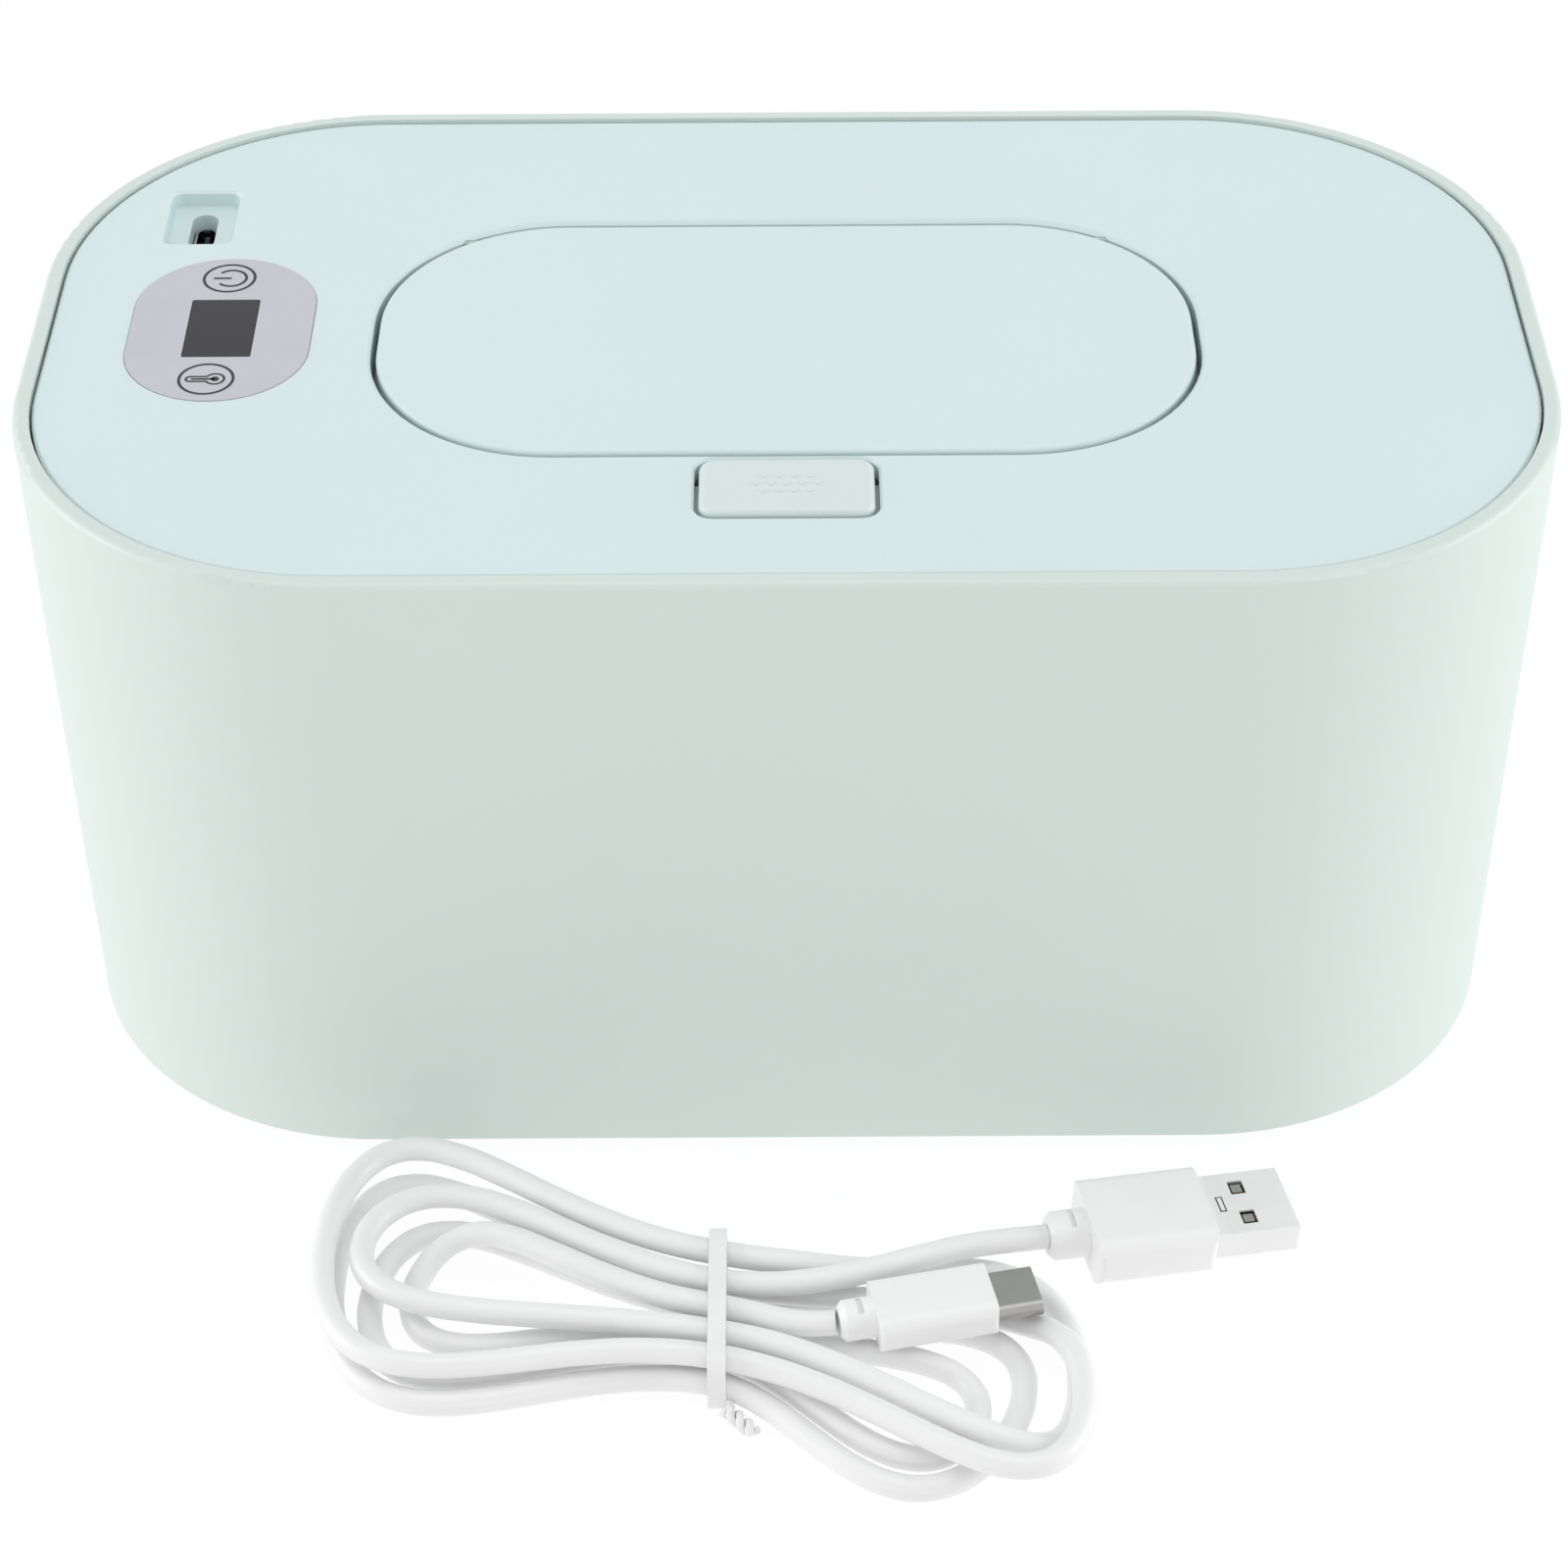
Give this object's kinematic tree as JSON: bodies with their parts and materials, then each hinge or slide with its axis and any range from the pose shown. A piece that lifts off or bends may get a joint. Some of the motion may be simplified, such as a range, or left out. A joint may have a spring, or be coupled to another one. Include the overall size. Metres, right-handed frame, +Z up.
{
  "type": "baby wipe warmer",
  "caption": "Oval-ended wipe warmer tub with a lift-out heated top, hinged lid, latch button, touch panel and a charging cable.",
  "frame": {"origin": "on the floor, under the centre of the tub's outline", "axes": "+X along the length to the right as seen from the latch button, +Y to the back (hinge side), +Z up"},
  "size_m": [0.215, 0.1921, 0.1038],
  "materials": {
    "mint_plastic": "satin",
    "white_plastic": "satin",
    "button_plastic": "satin",
    "rubber": "matte",
    "silicone": "satin",
    "steel": "polished",
    "aluminium": "satin",
    "panel_film": "satin",
    "smoked_lens": "gloss",
    "black_plastic": "satin",
    "circuit_board": "satin",
    "heater_film": "satin",
    "foam_pad": "matte",
    "lead_insulation": "satin",
    "cable_jacket": "satin",
    "tie_plastic": "satin",
    "cable_white": "satin"
  },
  "bodies": {
    "root": {"outer_shell": "mint_plastic", "rubber_feet": "rubber", "cable_hank": "cable_jacket", "cable_run_a": "cable_jacket", "cable_run_c": "cable_jacket", "cable_tie": "tie_plastic", "usb_a_grip": "cable_jacket", "usb_a_shell": "steel", "usb_a_tongue": "cable_white", "usb_c_grip": "cable_jacket", "usb_c_shell": "steel"},
    "top": {"top_deck": "mint_plastic", "under_cover": "mint_plastic", "deck_seal": "silicone", "deck_screws": "steel", "control_panel": "panel_film", "display_window": "smoked_lens", "display_module": "black_plastic", "control_board": "circuit_board", "board_chips": "black_plastic", "board_screws": "steel", "touch_springs": "steel", "usb_socket_shell": "steel", "usb_socket_tongue": "black_plastic", "heater_plate": "aluminium", "heater_film": "heater_film", "insulation_pad": "foam_pad", "heater_screws": "steel", "thermal_fuse": "steel", "temperature_sensor": "black_plastic", "heater_leads": "lead_insulation", "pop_up_spring": "steel", "button_spring": "steel"},
    "lid": {"lid": "mint_plastic", "lid_liner": "white_plastic", "lid_seal": "silicone", "hinge_pins": "steel"},
    "button": {"latch_button": "button_plastic"}
  },
  "joints": [
    {"name": "top_lift", "type": "slide", "parent": "root", "child": "top", "axis": [0, 0, 1], "range_m": [0, 0.08]},
    {"name": "lid_hinge", "type": "hinge", "parent": "top", "child": "lid", "pos_m": [0, 0.0254, 0.10215], "axis": [-1, 0, 0], "range_deg": [0, 90]},
    {"name": "button_press", "type": "slide", "parent": "top", "child": "button", "axis": [0, 0, -1], "range_m": [0, 0.002], "stiffness_N_per_m": 400, "springref_m": -0.002, "deforming": ["button_spring"]}
  ]
}
